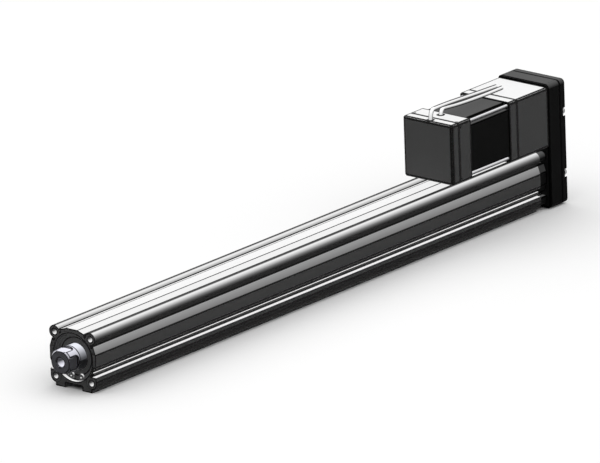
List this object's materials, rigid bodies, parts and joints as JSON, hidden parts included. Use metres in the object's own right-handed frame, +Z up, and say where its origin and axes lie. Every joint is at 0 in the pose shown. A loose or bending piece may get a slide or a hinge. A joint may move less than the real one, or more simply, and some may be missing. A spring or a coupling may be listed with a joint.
{
  "type": "electric rod actuator",
  "caption": "Electric rod actuator: an extruded body with a ball screw that pushes a non-turning rod, driven by a toothed belt from a motor with a holding brake folded back over the body.",
  "frame": {"origin": "on the rod's axis, in the plane of the body's front face, at the centre of the front bolt square", "axes": "+X the way the rod comes out, +Y to the right of someone who faces the front, +Z up, away from the feet"},
  "size_m": [0.5642, 0.0482, 0.1054],
  "materials": {
    "anodised_body": "satin clear anodised extrusion",
    "anodised_cover": "turned, anodised",
    "bearing_polymer": "filled bearing polymer",
    "seal_rubber": "nitrile",
    "spring_steel": "blackened spring steel",
    "urethane": "moulded urethane",
    "chromed_rod": "hard chromed and ground",
    "nickel_socket": "nickel plated",
    "magnet": "sintered magnet",
    "bearing_steel": "ground",
    "pulley_aluminium": "machined",
    "black_casting": "black coated die casting",
    "zinc_screws": "zinc plated",
    "black_screws": "blackened",
    "belt_rubber": "toothed belt",
    "motor_grey": "satin machined die casting",
    "black_stack": "black painted steel laminations",
    "copper": "enamelled copper wire",
    "board": "circuit board",
    "friction": "friction lining",
    "lead_sheath": "pale lead sheath"
  },
  "bodies": {
    "body": {"bearing_housing": "black_casting", "bearing_stopper": "bearing_steel", "body_tube": "anodised_body", "brake_coil": "bearing_steel", "brake_housing": "motor_grey", "brake_plate": "bearing_steel", "bumpers": "urethane", "encoder_board": "board", "encoder_lead": "lead_sheath", "housing_bolts": "black_screws", "lead_grommets": "seal_rubber", "motor_bearings": "bearing_steel", "motor_end_cap": "motor_grey", "motor_front_bell": "motor_grey", "motor_mount_screws": "black_screws", "motor_rear_bell": "motor_grey", "motor_stack": "black_stack", "motor_through_screws": "black_screws", "motor_windings": "copper", "power_lead": "lead_sheath", "retaining_ring": "spring_steel", "return_box": "black_casting", "return_cover": "black_casting", "return_cover_screws": "zinc_screws", "rod_bush": "bearing_polymer", "rod_cover": "anodised_cover", "rod_seal": "seal_rubber", "screw_bearing_outer_ring": "bearing_steel", "timing_belt": "belt_rubber"},
    "rod": {"piston_rod": "chromed_rod", "rod_end_socket": "nickel_socket", "piston": "anodised_cover", "magnet_ring": "magnet", "rotation_stopper": "bearing_polymer", "screw_nut": "bearing_steel", "nut_retainer": "bearing_steel"},
    "screw": {"screw_shaft": "bearing_steel", "wear_ring_holder": "anodised_cover", "wear_ring": "bearing_polymer", "screw_bearing_inner_ring": "bearing_steel", "screw_locknut": "bearing_steel", "screw_pulley": "pulley_aluminium"},
    "motor_rotor": {"motor_shaft": "bearing_steel", "rotor": "magnet", "encoder_disc": "anodised_cover", "motor_pulley": "pulley_aluminium", "brake_disc": "friction"},
    "brake_armature": {"brake_armature": "bearing_steel"}
  },
  "joints": [
    {"name": "rod_slide", "type": "slide", "parent": "body", "child": "rod", "axis": [1, 0, 0], "range_m": [0, 0.4]},
    {"name": "screw_spin", "type": "hinge", "parent": "body", "child": "screw", "pos_m": [-0.26, 0, 0], "axis": [1, 0, 0], "range_deg": [-12000.5, 0.5]},
    {"name": "rotor_spin", "type": "hinge", "parent": "body", "child": "motor_rotor", "pos_m": [-0.46, 0, 0.048], "axis": [1, 0, 0], "range_deg": [-12000.5, 0.5]},
    {"name": "brake_release", "type": "slide", "parent": "body", "child": "brake_armature", "axis": [-1, 0, 0], "range_m": [0, 0.0003], "stiffness_N_per_m": 2000}
  ],
  "couplings": [
    {"joint": "screw_spin", "follows": "rod_slide", "rad_per_m": -523.6},
    {"joint": "rotor_spin", "follows": "rod_slide", "rad_per_m": -523.6}
  ]
}
